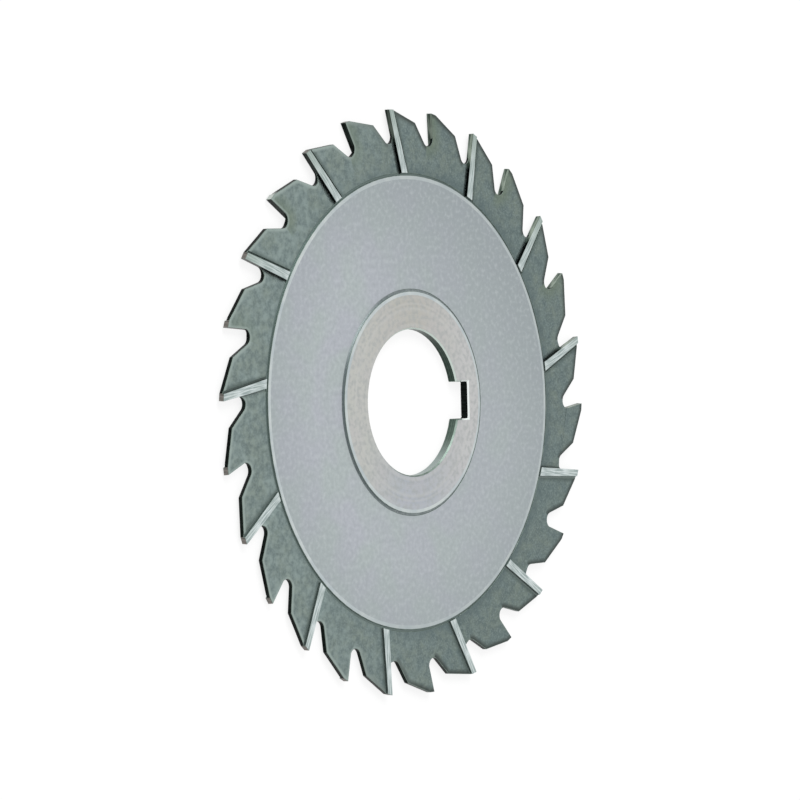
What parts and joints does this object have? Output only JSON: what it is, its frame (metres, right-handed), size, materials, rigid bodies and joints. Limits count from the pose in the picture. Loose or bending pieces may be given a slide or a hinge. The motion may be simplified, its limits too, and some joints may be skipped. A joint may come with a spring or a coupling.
{
  "type": "slitting saw",
  "caption": "Thin keyed milling saw for cutting narrow slots and parting metal, with staggered teeth, side lands, a recessed tooth ring and a raised hub.",
  "frame": {"origin": "on the bore axis, at the lower hub face, which rests on the ground", "axes": "+Z along the bore axis out of the upper face, +X through the middle of the keyway"},
  "size_m": [0.127, 0.1264, 0.0024],
  "materials": {
    "steel": "fine ground tool steel"
  },
  "bodies": {
    "root": {"saw": "steel"}
  },
  "joints": []
}
